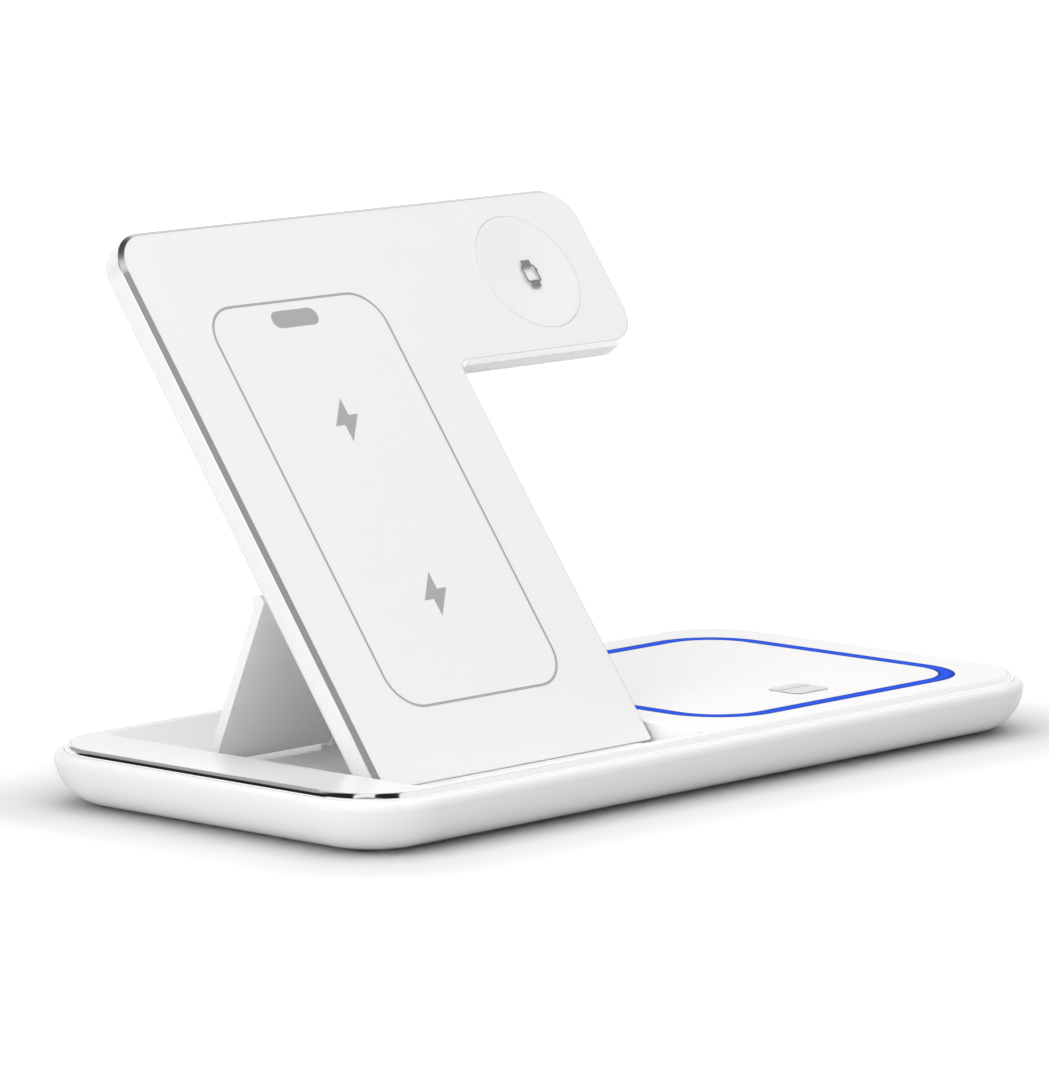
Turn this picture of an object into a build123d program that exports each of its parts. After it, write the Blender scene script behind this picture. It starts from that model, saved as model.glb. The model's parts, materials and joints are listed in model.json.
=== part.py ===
from build123d import *
from math import cos, hypot, radians, sin, tan
import os

os.makedirs("parts", exist_ok=True)

# Base housing
base_length = 190.0
base_width = 90.0
base_height = 11.4
base_corner = 16.2
foot_proud = 0.4
hull_draft = 5.0
hull_radius = 9.0
hull_wall = 3.0
hull_floor = 1.8
cavity_radius = 6.0
rim_width = 1.8
rim_round = 1.6
cover_thickness = 1.6
trim_band = 1.15
trim_round = 1.1
seat_clearance = 0.05

# Recess in the top of the base, for the leg and the foot of the panel
recess_depth = 3.7
recess_left_gap = 3.7
recess_right_gap = 0.6
recess_end_margin = 5.0
recess_corner = 4.0
recess_wall = 1.4
recess_round = 0.3
back_ramp_length = 20.0
front_ramp_angle = 13.8
rest_height = 0.6
rest_width = 9.0
rest_inset = 4.0

# Light ring and earbud place
ring_recess_gap = 10.2
ring_end_inset = 12.5
ring_side_inset = 11.1
ring_corner = 12.0
ring_band = 3.3
ring_depth = 1.0
window_radius = 1.3
window_pitch = 26.0
strip_band = 3.2
strip_thickness = 0.4
emitter_length = 1.6
emitter_width = 1.0
emitter_height = 0.5
earbud_coil_outer = 19.0
earbud_coil_inner = 9.0
earbud_coil_thickness = 1.2
earbud_ferrite_margin = 1.0
ferrite_thickness = 0.7

# Screws and feet
screw_end_inset = 11.0
screw_side_inset = 13.0
screw_radius = 1.0
screw_head_radius = 2.1
screw_head_height = 1.2
screw_length = 6.0
screw_clearance = 0.3
pilot_clearance = 0.05
boss_radius = 2.0
post_radius = 3.2
post_height = 1.8
rubber_foot_end_inset = 24.0
rubber_foot_side_inset = 20.0
rubber_foot_radius = 4.5
rubber_foot_sink = 0.6

# Base circuit board and power socket
board_length = 48.0
board_width = 17.0
board_thickness = 1.2
board_lift = 2.4
board_back_gap = 2.5
board_post_radius = 1.5
board_post_inset = 3.0
socket_width = 8.94
socket_height = 3.26
socket_depth = 7.4
socket_wall = 0.3
socket_back_wall = 0.8
socket_inset = 1.1
socket_gap = 0.15
tongue_width = 6.7
tongue_thickness = 0.7
tongue_length = 5.2
choke_size = 7.0
choke_height = 3.0
choke_offset = 15.0
capacitor_radius = 2.0
capacitor_height = 3.2
capacitor_pitch = 5.0
capacitor_offset = -13.0
chip_size = 5.0
chip_height = 1.0

# Panel
panel_lean = 36.2
panel_front_inset = 20.4
panel_height = 113.1
panel_end_inset = 21.1
stem_width = 72.6
arm_reach = 50.9
arm_depth = 35.3
panel_thickness = 5.8
panel_corner = 8.0
panel_inner_corner = 1.5
face_thickness = 1.0
face_band = 0.85
face_bevel = 0.8
frame_depth = 2.75
frame_wall = 2.0
rear_wall = 1.3
rear_round = 1.5
parting_bevel = 0.2
foot_gap = 0.3
heel_depth = 3.0
heel_rise = 1.8
cut_reach = 30.0

# Panel contents
phone_coil_height = 32.3
phone_coil_pitch = 37.3
phone_coil_outer = 17.5
phone_coil_inner = 8.0
phone_coil_thickness = 1.2
phone_ferrite_margin = 1.5
phone_ferrite_corner = 3.0
watch_inset = 21.7
watch_radius = 12.4
watch_gap = 0.1
watch_flange = 1.3
watch_flange_thickness = 0.6
watch_dish_radius = 132.0
watch_dish_depth = 0.5
watch_coil_outer = 11.5
watch_coil_inner = 6.0
watch_coil_thickness = 1.0
watch_magnet_radius = 4.6
watch_magnet_thickness = 2.0
watch_magnet_gap = 0.5
panel_board_length = 34.0
panel_board_width = 14.0
panel_board_thickness = 0.8
panel_board_drop = 14.0
panel_chip_size = 6.0
panel_chip_height = 0.9
panel_chip_pitch = 16.0

# Leg and its two hinges
leg_setback = 41.15
panel_hinge_height = 39.36
leg_thickness = 2.0
leg_side_inset = 0.5
barrel_radius = 1.4
barrel_floor_gap = 1.0
lug_length = 12.0
lug_root = 0.6
knuckle_gap = 0.4
pin_radius = 0.6
pin_clearance = 0.05
pin_inset = 0.5
pin_cap = 1.5
fold_gap = 0.4

# Levels and places that follow from the sizes above
rim_height = base_height - trim_round
draft = radians(hull_draft)
rim_lean = rim_round * (tan(draft) + 1 / cos(draft) - 1)
seat_height = base_height - cover_thickness
hull_inside = foot_proud + hull_floor
recess_floor = base_height - recess_depth
rest_top = recess_floor + rest_height
post_top = hull_inside + post_height
post_foot = foot_proud + hull_floor / 2
head_seat = post_top - post_height / 2
screw_tip = head_seat + screw_length
ring_floor = base_height - ring_depth
board_bottom = hull_inside + board_lift
board_top = board_bottom + board_thickness
board_y = base_width / 2 - hull_wall - board_back_gap - board_width / 2
socket_z = board_top + socket_height / 2
socket_mouth = base_width / 2 - socket_inset

panel_left = panel_end_inset - base_length / 2
panel_face_y = panel_front_inset - base_width / 2
stem_right = panel_left + stem_width
stem_centre = panel_left + stem_width / 2
arm_right = stem_right + arm_reach
recess_left = panel_left - recess_left_gap
recess_right = stem_right + recess_right_gap
recess_length = recess_right - recess_left
recess_centre = (recess_left + recess_right) / 2
recess_width = base_width - 2 * recess_end_margin
recess_back = recess_width / 2
ramp_start = recess_back - back_ramp_length
ring_left = recess_right + ring_recess_gap
ring_right = base_length / 2 - ring_end_inset
ring_length = ring_right - ring_left
ring_width = base_width - 2 * ring_side_inset
ring_centre_x = (ring_left + ring_right) / 2
screw_pitch_x = base_length - 2 * screw_end_inset
screw_pitch_y = base_width - 2 * screw_side_inset
rubber_foot_pitch_x = base_length - 2 * rubber_foot_end_inset
rubber_foot_pitch_y = base_width - 2 * rubber_foot_side_inset
trim_inset = rim_width + seat_clearance
cover_inset = trim_inset + trim_band + seat_clearance

lean = radians(panel_lean)
panel_plane = Plane(
    origin=(0, panel_face_y, base_height),
    x_dir=(1, 0, 0),
    z_dir=(0, -cos(lean), sin(lean)),
)
panel_normal = Axis((0, 0, 0), (0, -cos(lean), sin(lean)))
parting_depth = face_thickness + frame_depth
rear_inside = panel_thickness - rear_wall
watch_x = arm_right - watch_inset
watch_u = panel_height - arm_depth / 2
upper_coil_height = phone_coil_height + phone_coil_pitch
panel_board_u = panel_height - panel_board_drop

# The foot of the panel is cut level with the rest bar and lifted at its heel
foot_level = rest_top + foot_gap
heel_level = foot_level + heel_rise
face_slope = tan(lean)
toe_y = panel_face_y + (foot_level - base_height) * face_slope
sole_y = toe_y + (panel_thickness - heel_depth) / cos(lean)
heel_y = panel_face_y + (heel_level - base_height) * face_slope + panel_thickness / cos(lean)
heel_slope = heel_rise / (heel_y - sole_y)
foot_low = (foot_level - base_height) / cos(lean)
heel_high = (heel_level - base_height + panel_thickness * sin(lean)) / cos(lean)
hollow_low = heel_high + frame_wall
foot_outline = [
    (toe_y - cut_reach, foot_level - cut_reach),
    (toe_y - cut_reach, foot_level),
    (sole_y, foot_level),
    (heel_y, heel_level),
    (heel_y + cut_reach, heel_level + cut_reach * heel_slope),
    (heel_y + cut_reach, foot_level - cut_reach),
]

# The recess runs out in a ramp at its back and in one at its front, which the panel's foot follows
rest_front = (toe_y + sole_y) / 2 - rest_width / 2
front_ramp_low = base_height - (rest_front + recess_back) * tan(radians(front_ramp_angle))
front_ramp_outline = [
    (-recess_back - recess_round, recess_floor),
    (-recess_back - recess_round, base_height),
    (-recess_back, base_height),
    (rest_front, front_ramp_low),
    (rest_front, recess_floor),
]
back_ramp_outline = [
    (ramp_start, recess_floor),
    (recess_back, base_height),
    (recess_back + recess_round, base_height),
    (recess_back + recess_round, recess_floor),
]

# Folded flat, the leg lies level and the panel rests just above the base
leg_hinge_y = panel_face_y + leg_setback
leg_hinge_z = recess_floor + barrel_floor_gap + barrel_radius
hinge_standoff = base_height + fold_gap - leg_hinge_z
hinge_depth = panel_thickness + hinge_standoff
panel_hinge = panel_plane.from_local_coords((stem_centre, panel_hinge_height, -hinge_depth))
leg_rise = panel_hinge.Z - leg_hinge_z
leg_run = panel_hinge.Y - leg_hinge_y
leg_span = hypot(leg_rise, leg_run)
leg_profile = Plane(
    origin=(0, leg_hinge_y, leg_hinge_z),
    x_dir=(0, leg_run, leg_rise),
    z_dir=(1, 0, 0),
)
leg_width = stem_width - 2 * leg_side_inset
leg_side = Plane(origin=(0, leg_hinge_y, leg_hinge_z), x_dir=(0, 0, -1), z_dir=(1, 0, 0))
panel_side = Plane(
    origin=(0, panel_hinge.Y, panel_hinge.Z),
    x_dir=(0, -cos(lean), sin(lean)),
    z_dir=(1, 0, 0),
)
bore_length = leg_width - pin_cap
bore_centre = stem_centre + pin_cap / 2

# Side view of the leg, up the plate and across it: flush with its barrels on the front, its top end
# cut parallel to the back of the panel
panel_along = (sin(lean) * leg_rise - cos(lean) * leg_run) / leg_span
panel_across = (cos(lean) * leg_rise + sin(lean) * leg_run) / leg_span
leg_tip = leg_span + barrel_radius * (1 - panel_across) / panel_along
leg_outer = barrel_radius - leg_thickness
leg_outline = [
    (0, leg_outer),
    (-barrel_radius, 0),
    (-barrel_radius, barrel_radius),
    (leg_tip, barrel_radius),
    (leg_span + barrel_radius * panel_along, barrel_radius * panel_across),
    (leg_span, leg_outer),
]


def base_outline(inset):
    """Rounded base outline, drawn inset from the housing's edge."""
    return RectangleRounded(base_length - 2 * inset, base_width - 2 * inset, base_corner - inset)


def ring_outline(growth, mode=Mode.ADD):
    """Middle line of the light ring, grown outwards or inwards."""
    with Locations((ring_centre_x, 0)):
        return RectangleRounded(
            ring_length + 2 * growth, ring_width + 2 * growth, ring_corner + growth, mode=mode
        )


def flag_outline(inset, low):
    """Flag-shaped panel outline, inset from its edge, with its foot at the given height."""
    left = panel_left + inset
    right = stem_right - inset
    reach = arm_right - inset
    top = panel_height - inset
    under = panel_height - arm_depth + inset
    with BuildSketch() as flag:
        with BuildLine():
            Polyline(
                (left, low), (right, low), (right, under), (reach, under), (reach, top), (left, top),
                close=True,
            )
        make_face()
        inner = flag.vertices().sort_by_distance((right, under))[0]
        fillet(inner, panel_inner_corner + inset)
        tips = [flag.vertices().sort_by_distance(tip)[0] for tip in ((reach, under), (reach, top), (left, top))]
        fillet(tips, panel_corner - inset)
    return flag.sketch


# Lower housing of the base, boat-shaped, with screw posts, board posts and the socket's slot
with BuildPart() as hull_hollow:
    with BuildSketch(Plane.XY.offset(hull_inside)):
        base_outline(hull_wall)
    extrude(amount=base_height)
    fillet(hull_hollow.faces().sort_by(Axis.Z)[0].edges(), cavity_radius)

with BuildPart() as base_bottom_shell:
    with BuildSketch(Plane.XY.offset(rim_height)):
        base_outline(-rim_lean)
    extrude(amount=foot_proud - rim_height, taper=hull_draft)
    fillet(base_bottom_shell.faces().sort_by(Axis.Z)[0].edges(), hull_radius)
    fillet(base_bottom_shell.faces().sort_by(Axis.Z)[-1].edges(), rim_round)
    add(hull_hollow.part, mode=Mode.SUBTRACT)
    with BuildSketch(Plane.XY.offset(seat_height)):
        base_outline(rim_width)
    extrude(amount=base_height, mode=Mode.SUBTRACT)
    with BuildSketch(Plane.XY.offset(post_foot)):
        with GridLocations(screw_pitch_x, screw_pitch_y, 2, 2):
            Circle(post_radius)
    extrude(amount=post_top - post_foot)
    with BuildSketch(Plane.XY.offset(hull_inside)):
        with Locations((ring_centre_x, board_y)):
            with GridLocations(
                board_length - 2 * board_post_inset, board_width - 2 * board_post_inset, 2, 2
            ):
                Circle(board_post_radius)
    extrude(amount=board_lift)
    with BuildSketch(Plane.XY):
        with GridLocations(rubber_foot_pitch_x, rubber_foot_pitch_y, 2, 2):
            Circle(rubber_foot_radius + seat_clearance)
    extrude(amount=foot_proud + rubber_foot_sink, mode=Mode.SUBTRACT)
    with BuildSketch(Plane.XY):
        with GridLocations(screw_pitch_x, screw_pitch_y, 2, 2):
            Circle(screw_head_radius + screw_clearance)
    extrude(amount=head_seat, mode=Mode.SUBTRACT)
    with BuildSketch(Plane.XY):
        with GridLocations(screw_pitch_x, screw_pitch_y, 2, 2):
            Circle(screw_radius + screw_clearance)
    extrude(amount=post_top, mode=Mode.SUBTRACT)
    with BuildSketch(Plane.XZ.offset(-base_width / 2)):
        with Locations((ring_centre_x, socket_z)):
            SlotOverall(socket_width + 2 * socket_gap, socket_height + 2 * socket_gap)
    extrude(amount=hull_wall + cavity_radius, mode=Mode.SUBTRACT)
base_bottom_shell.part.label = "base_bottom_shell"
export_step(base_bottom_shell.part, "parts/base_bottom_shell.step")

# Top plate of the base, one moulding with the recess, its ramps and rest bar, the hinge lug and screw bosses
with BuildPart() as base_top_cover:
    with BuildSketch(Plane.XY.offset(seat_height)):
        base_outline(cover_inset)
    extrude(amount=cover_thickness)
    with BuildSketch(Plane.XY.offset(recess_floor - recess_wall)):
        with Locations((recess_centre, 0)):
            RectangleRounded(
                recess_length + 2 * recess_wall, recess_width + 2 * recess_wall, recess_corner + recess_wall
            )
    extrude(amount=seat_height - recess_floor + recess_wall)
    with BuildSketch(Plane.XY.offset(recess_floor)):
        with Locations((recess_centre, 0)):
            RectangleRounded(recess_length, recess_width, recess_corner)
    extrude(amount=recess_depth, mode=Mode.SUBTRACT)
    fillet(base_top_cover.faces().sort_by(Axis.Z)[-1].inner_wires()[0].edges(), recess_round)
    with BuildSketch(Plane.YZ.offset(recess_centre)):
        with BuildLine():
            Polyline(*front_ramp_outline, close=True)
        make_face()
        with BuildLine():
            Polyline(*back_ramp_outline, close=True)
        make_face()
    extrude(amount=recess_length / 2, both=True)
    with BuildSketch(Plane.XY.offset(recess_floor)):
        with Locations((stem_centre, (toe_y + sole_y) / 2)):
            Rectangle(stem_width - 2 * rest_inset, rest_width)
    extrude(amount=rest_height)
    with BuildSketch(leg_side.offset(stem_centre)):
        Circle(barrel_radius)
        with Locations(((barrel_radius + barrel_floor_gap) / 2, 0)):
            Rectangle(barrel_radius + barrel_floor_gap, 2 * barrel_radius)
    extrude(amount=lug_length / 2, both=True)
    with BuildSketch(leg_side.offset(stem_centre)):
        Circle(pin_radius + pin_clearance)
    extrude(amount=leg_width / 2, both=True, mode=Mode.SUBTRACT)
    with BuildSketch(Plane.XY.offset(base_height)):
        ring_outline(ring_band / 2)
        ring_outline(-ring_band / 2, mode=Mode.SUBTRACT)
    extrude(amount=-ring_depth, mode=Mode.SUBTRACT)
    with BuildSketch(Plane.XY.offset(seat_height)):
        with Locations((ring_centre_x, 0)):
            with GridLocations(ring_length, window_pitch, 2, 2):
                Circle(window_radius)
            with GridLocations(window_pitch, ring_width, 2, 2):
                Circle(window_radius)
    extrude(amount=cover_thickness - ring_depth, mode=Mode.SUBTRACT)
    with BuildSketch(Plane.XY.offset(post_top)):
        with GridLocations(screw_pitch_x, screw_pitch_y, 2, 2):
            Circle(boss_radius)
    extrude(amount=seat_height - post_top)
    with BuildSketch(Plane.XY.offset(post_top)):
        with GridLocations(screw_pitch_x, screw_pitch_y, 2, 2):
            Circle(screw_radius + pilot_clearance)
    extrude(amount=screw_tip - post_top + screw_clearance, mode=Mode.SUBTRACT)
base_top_cover.part.label = "base_top_cover"
export_step(base_top_cover.part, "parts/base_top_cover.step")

# Polished rounded trim between housing rim and top plate
with BuildPart() as base_trim_ring:
    with BuildSketch(Plane.XY.offset(seat_height)):
        base_outline(trim_inset)
    extrude(amount=cover_thickness)
    fillet(base_trim_ring.faces().sort_by(Axis.Z)[-1].edges(), trim_round)
    with BuildSketch(Plane.XY.offset(seat_height)):
        base_outline(trim_inset + trim_band)
    extrude(amount=cover_thickness, mode=Mode.SUBTRACT)
base_trim_ring.part.label = "base_trim_ring"
export_step(base_trim_ring.part, "parts/base_trim_ring.step")

# Light guide, flush with the top plate
with BuildPart() as light_ring:
    with BuildSketch(Plane.XY.offset(ring_floor)):
        ring_outline(ring_band / 2 - seat_clearance)
        ring_outline(seat_clearance - ring_band / 2, mode=Mode.SUBTRACT)
    extrude(amount=ring_depth)
light_ring.part.label = "light_ring"
export_step(light_ring.part, "parts/light_ring.step")

# Board strip under the ring, stuck to the underside of the top plate
with BuildPart() as light_strip:
    with BuildSketch(Plane.XY.offset(seat_height - strip_thickness)):
        ring_outline(strip_band / 2)
        ring_outline(-strip_band / 2, mode=Mode.SUBTRACT)
    extrude(amount=strip_thickness)
light_strip.part.label = "light_strip"
export_step(light_strip.part, "parts/light_strip.step")

# Light chips on the strip, each in its window
with BuildPart() as light_emitters:
    with BuildSketch(Plane.XY.offset(seat_height)):
        with Locations((ring_centre_x, 0)):
            with GridLocations(ring_length, window_pitch, 2, 2):
                Rectangle(emitter_width, emitter_length)
            with GridLocations(window_pitch, ring_width, 2, 2):
                Rectangle(emitter_length, emitter_width)
    extrude(amount=emitter_height)
light_emitters.part.label = "light_emitters"
export_step(light_emitters.part, "parts/light_emitters.step")

# Earbud coil and the ferrite sheet behind it, glued under the top plate
coil_bottom = seat_height - earbud_coil_thickness
with BuildPart() as earbud_coil:
    with BuildSketch(Plane.XY.offset(coil_bottom)):
        with Locations((ring_centre_x, 0)):
            Circle(earbud_coil_outer)
            Circle(earbud_coil_inner, mode=Mode.SUBTRACT)
    extrude(amount=earbud_coil_thickness)
earbud_coil.part.label = "earbud_coil"
export_step(earbud_coil.part, "parts/earbud_coil.step")

with BuildPart() as earbud_ferrite:
    with BuildSketch(Plane.XY.offset(coil_bottom - ferrite_thickness)):
        with Locations((ring_centre_x, 0)):
            Circle(earbud_coil_outer + earbud_ferrite_margin)
    extrude(amount=ferrite_thickness)
earbud_ferrite.part.label = "earbud_ferrite"
export_step(earbud_ferrite.part, "parts/earbud_ferrite.step")

# Main board on its posts
with BuildPart() as base_circuit_board:
    with BuildSketch(Plane.XY.offset(board_bottom)):
        with Locations((ring_centre_x, board_y)):
            Rectangle(board_length, board_width)
    extrude(amount=board_thickness)
base_circuit_board.part.label = "base_circuit_board"
export_step(base_circuit_board.part, "parts/base_circuit_board.step")

# Choke, capacitors and chip on the main board
with BuildPart() as base_board_parts:
    with BuildSketch(Plane.XY.offset(board_top)):
        with Locations((ring_centre_x + choke_offset, board_y)):
            RectangleRounded(choke_size, choke_size, board_thickness)
    extrude(amount=choke_height)
    with BuildSketch(Plane.XY.offset(board_top)):
        with Locations((ring_centre_x + capacitor_offset, board_y)):
            with GridLocations(capacitor_pitch, capacitor_pitch, 2, 1):
                Circle(capacitor_radius)
    extrude(amount=capacitor_height)
    with BuildSketch(Plane.XY.offset(board_top)):
        with Locations((ring_centre_x, board_y)):
            Rectangle(chip_size, chip_size)
    extrude(amount=chip_height)
base_board_parts.part.label = "base_board_parts"
export_step(base_board_parts.part, "parts/base_board_parts.step")

# Power socket, a drawn metal shell with its contact tongue
with BuildPart() as power_socket:
    with BuildSketch(Plane.XZ.offset(-socket_mouth)):
        with Locations((ring_centre_x, socket_z)):
            SlotOverall(socket_width, socket_height)
    extrude(amount=socket_depth)
    with BuildSketch(Plane.XZ.offset(-socket_mouth)):
        with Locations((ring_centre_x, socket_z)):
            SlotOverall(socket_width - 2 * socket_wall, socket_height - 2 * socket_wall)
    extrude(amount=socket_depth - socket_back_wall, mode=Mode.SUBTRACT)
    with BuildSketch(Plane.XZ.offset(socket_depth - socket_back_wall - socket_mouth)):
        with Locations((ring_centre_x, socket_z)):
            Rectangle(tongue_width, tongue_thickness)
    extrude(amount=-tongue_length)
power_socket.part.label = "power_socket"
export_step(power_socket.part, "parts/power_socket.step")

# Four equal screws from below into the bosses of the top plate
with BuildPart() as base_screws:
    with BuildSketch(Plane.XY.offset(head_seat - screw_head_height)):
        with GridLocations(screw_pitch_x, screw_pitch_y, 2, 2):
            Circle(screw_head_radius)
    extrude(amount=screw_head_height)
    with BuildSketch(Plane.XY.offset(head_seat)):
        with GridLocations(screw_pitch_x, screw_pitch_y, 2, 2):
            Circle(screw_radius)
    extrude(amount=screw_length)
base_screws.part.label = "base_screws"
export_step(base_screws.part, "parts/base_screws.step")

# Four equal rubber feet, sunk in the underside
with BuildPart() as rubber_feet:
    with BuildSketch(Plane.XY):
        with GridLocations(rubber_foot_pitch_x, rubber_foot_pitch_y, 2, 2):
            Circle(rubber_foot_radius)
    extrude(amount=foot_proud + rubber_foot_sink)
rubber_feet.part.label = "rubber_feet"
export_step(rubber_feet.part, "parts/rubber_feet.step")

# Pin of the lower hinge, through the lug of the top plate and the barrel of the leg
with BuildPart() as leg_hinge_pin:
    with BuildSketch(leg_side.offset(bore_centre)):
        Circle(pin_radius)
    extrude(amount=bore_length / 2 - pin_inset, both=True)
leg_hinge_pin.part.label = "leg_hinge_pin"
export_step(leg_hinge_pin.part, "parts/leg_hinge_pin.step")

# Plate leg with a barrel at each end, notched for the lugs of base and panel, its bores blind on the left
with BuildPart() as support_leg:
    with BuildSketch(leg_profile.offset(stem_centre)):
        with BuildLine():
            Polyline(*leg_outline, close=True)
        make_face()
        with Locations((0, 0), (leg_span, 0)):
            Circle(barrel_radius)
    extrude(amount=leg_width / 2, both=True)
    with BuildSketch(leg_profile.offset(stem_centre)):
        with Locations((0, 0), (leg_span, 0)):
            Rectangle(2 * (barrel_radius + knuckle_gap), 2 * (barrel_radius + knuckle_gap))
    extrude(amount=lug_length / 2 + knuckle_gap, both=True, mode=Mode.SUBTRACT)
    with BuildSketch(leg_profile.offset(bore_centre)):
        with Locations((0, 0), (leg_span, 0)):
            Circle(pin_radius + pin_clearance)
    extrude(amount=bore_length / 2, both=True, mode=Mode.SUBTRACT)
support_leg.part.label = "support_leg"
export_step(support_leg.part, "parts/support_leg.step")

# Pin of the upper hinge, through the barrel of the leg and the lug of the panel
with BuildPart() as panel_hinge_pin:
    with BuildSketch(panel_side.offset(bore_centre)):
        Circle(pin_radius)
    extrude(amount=bore_length / 2 - pin_inset, both=True)
panel_hinge_pin.part.label = "panel_hinge_pin"
export_step(panel_hinge_pin.part, "parts/panel_hinge_pin.step")

# Everything below the sole and the lifted heel, taken off the foot of the panel
with BuildPart() as foot_waste:
    with BuildSketch(Plane.YZ.offset(stem_centre)):
        with BuildLine():
            Polyline(*foot_outline, close=True)
        make_face()
    extrude(amount=stem_width, both=True)

# Matt face of the panel, with the round hole for the watch disc
with BuildPart() as panel_front_cover:
    with BuildSketch(panel_plane):
        add(flag_outline(face_band + seat_clearance, foot_low))
        with Locations((watch_x, watch_u)):
            Circle(watch_radius + watch_gap, mode=Mode.SUBTRACT)
    extrude(amount=-face_thickness)
    add(foot_waste.part, mode=Mode.SUBTRACT)
panel_front_cover.part.label = "panel_front_cover"
export_step(panel_front_cover.part, "parts/panel_front_cover.step")

# Bevelled metal trim round the face, open at the foot
with BuildPart() as panel_trim_ring:
    with BuildSketch(panel_plane):
        add(flag_outline(0, foot_low - face_band))
    extrude(amount=-face_thickness)
    chamfer(panel_trim_ring.faces().sort_by(panel_normal)[-1].edges(), face_bevel)
    with BuildSketch(panel_plane):
        add(flag_outline(face_band, foot_low - 2 * face_band))
    extrude(amount=-face_thickness, mode=Mode.SUBTRACT)
    add(foot_waste.part, mode=Mode.SUBTRACT)
panel_trim_ring.part.label = "panel_trim_ring"
export_step(panel_trim_ring.part, "parts/panel_trim_ring.step")

# Side wall of the panel, between face and back
with BuildPart() as panel_frame:
    with BuildSketch(panel_plane.offset(-face_thickness)):
        add(flag_outline(0, foot_low))
        add(flag_outline(frame_wall, hollow_low), mode=Mode.SUBTRACT)
    extrude(amount=-frame_depth)
    add(foot_waste.part, mode=Mode.SUBTRACT)
panel_frame.part.label = "panel_frame"
export_step(panel_frame.part, "parts/panel_frame.step")

# Back of the panel, rounded at its rear edge, with the lug of the upper hinge
with BuildPart() as panel_rear_cover:
    with BuildSketch(panel_plane.offset(-parting_depth)):
        add(flag_outline(0, foot_low))
    extrude(amount=parting_depth - panel_thickness)
    fillet(panel_rear_cover.faces().sort_by(panel_normal)[0].edges(), rear_round)
    chamfer(panel_rear_cover.faces().sort_by(panel_normal)[-1].edges(), parting_bevel)
    with BuildSketch(panel_plane.offset(-parting_depth)):
        add(flag_outline(frame_wall, hollow_low))
    extrude(amount=parting_depth - rear_inside, mode=Mode.SUBTRACT)
    add(foot_waste.part, mode=Mode.SUBTRACT)
    with BuildSketch(panel_side.offset(stem_centre)):
        Circle(barrel_radius)
        with Locations(((hinge_standoff + lug_root) / 2, 0)):
            Rectangle(hinge_standoff + lug_root, 2 * barrel_radius)
    extrude(amount=lug_length / 2, both=True)
    with BuildSketch(panel_side.offset(stem_centre)):
        Circle(pin_radius + pin_clearance)
    extrude(amount=leg_width / 2, both=True, mode=Mode.SUBTRACT)
panel_rear_cover.part.label = "panel_rear_cover"
export_step(panel_rear_cover.part, "parts/panel_rear_cover.step")

# Two phone coils glued behind the face, and one ferrite sheet behind both
with BuildPart() as upper_phone_coil:
    with BuildSketch(panel_plane.offset(-face_thickness)):
        with Locations((stem_centre, upper_coil_height)):
            Circle(phone_coil_outer)
            Circle(phone_coil_inner, mode=Mode.SUBTRACT)
    extrude(amount=-phone_coil_thickness)
upper_phone_coil.part.label = "upper_phone_coil"
export_step(upper_phone_coil.part, "parts/upper_phone_coil.step")

with BuildPart() as lower_phone_coil:
    with BuildSketch(panel_plane.offset(-face_thickness)):
        with Locations((stem_centre, phone_coil_height)):
            Circle(phone_coil_outer)
            Circle(phone_coil_inner, mode=Mode.SUBTRACT)
    extrude(amount=-phone_coil_thickness)
lower_phone_coil.part.label = "lower_phone_coil"
export_step(lower_phone_coil.part, "parts/lower_phone_coil.step")

phone_ferrite_side = 2 * (phone_coil_outer + phone_ferrite_margin)
with BuildPart() as phone_ferrite:
    with BuildSketch(panel_plane.offset(-face_thickness - phone_coil_thickness)):
        with Locations((stem_centre, phone_coil_height + phone_coil_pitch / 2)):
            RectangleRounded(
                phone_ferrite_side, phone_ferrite_side + phone_coil_pitch, phone_ferrite_corner
            )
    extrude(amount=-ferrite_thickness)
phone_ferrite.part.label = "phone_ferrite"
export_step(phone_ferrite.part, "parts/phone_ferrite.step")

# Dished watch disc, held behind the face by its flange
flange_back = face_thickness + watch_flange_thickness
with BuildPart() as watch_disc:
    with BuildSketch(panel_plane):
        with Locations((watch_x, watch_u)):
            Circle(watch_radius)
    extrude(amount=-flange_back)
    with BuildSketch(panel_plane.offset(-face_thickness)):
        with Locations((watch_x, watch_u)):
            Circle(watch_radius + watch_flange)
    extrude(amount=-watch_flange_thickness)
    with Locations(panel_plane * Pos(watch_x, watch_u, watch_dish_radius - watch_dish_depth)):
        Sphere(watch_dish_radius, mode=Mode.SUBTRACT)
watch_disc.part.label = "watch_disc"
export_step(watch_disc.part, "parts/watch_disc.step")

# Watch coil and magnet glued behind the disc, and the ferrite washer behind the coil
with BuildPart() as watch_coil:
    with BuildSketch(panel_plane.offset(-flange_back)):
        with Locations((watch_x, watch_u)):
            Circle(watch_coil_outer)
            Circle(watch_coil_inner, mode=Mode.SUBTRACT)
    extrude(amount=-watch_coil_thickness)
watch_coil.part.label = "watch_coil"
export_step(watch_coil.part, "parts/watch_coil.step")

with BuildPart() as watch_magnet:
    with BuildSketch(panel_plane.offset(-flange_back)):
        with Locations((watch_x, watch_u)):
            Circle(watch_magnet_radius)
    extrude(amount=-watch_magnet_thickness)
watch_magnet.part.label = "watch_magnet"
export_step(watch_magnet.part, "parts/watch_magnet.step")

with BuildPart() as watch_ferrite:
    with BuildSketch(panel_plane.offset(-flange_back - watch_coil_thickness)):
        with Locations((watch_x, watch_u)):
            Circle(watch_coil_outer)
            Circle(watch_magnet_radius + watch_magnet_gap, mode=Mode.SUBTRACT)
    extrude(amount=-ferrite_thickness)
watch_ferrite.part.label = "watch_ferrite"
export_step(watch_ferrite.part, "parts/watch_ferrite.step")

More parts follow.
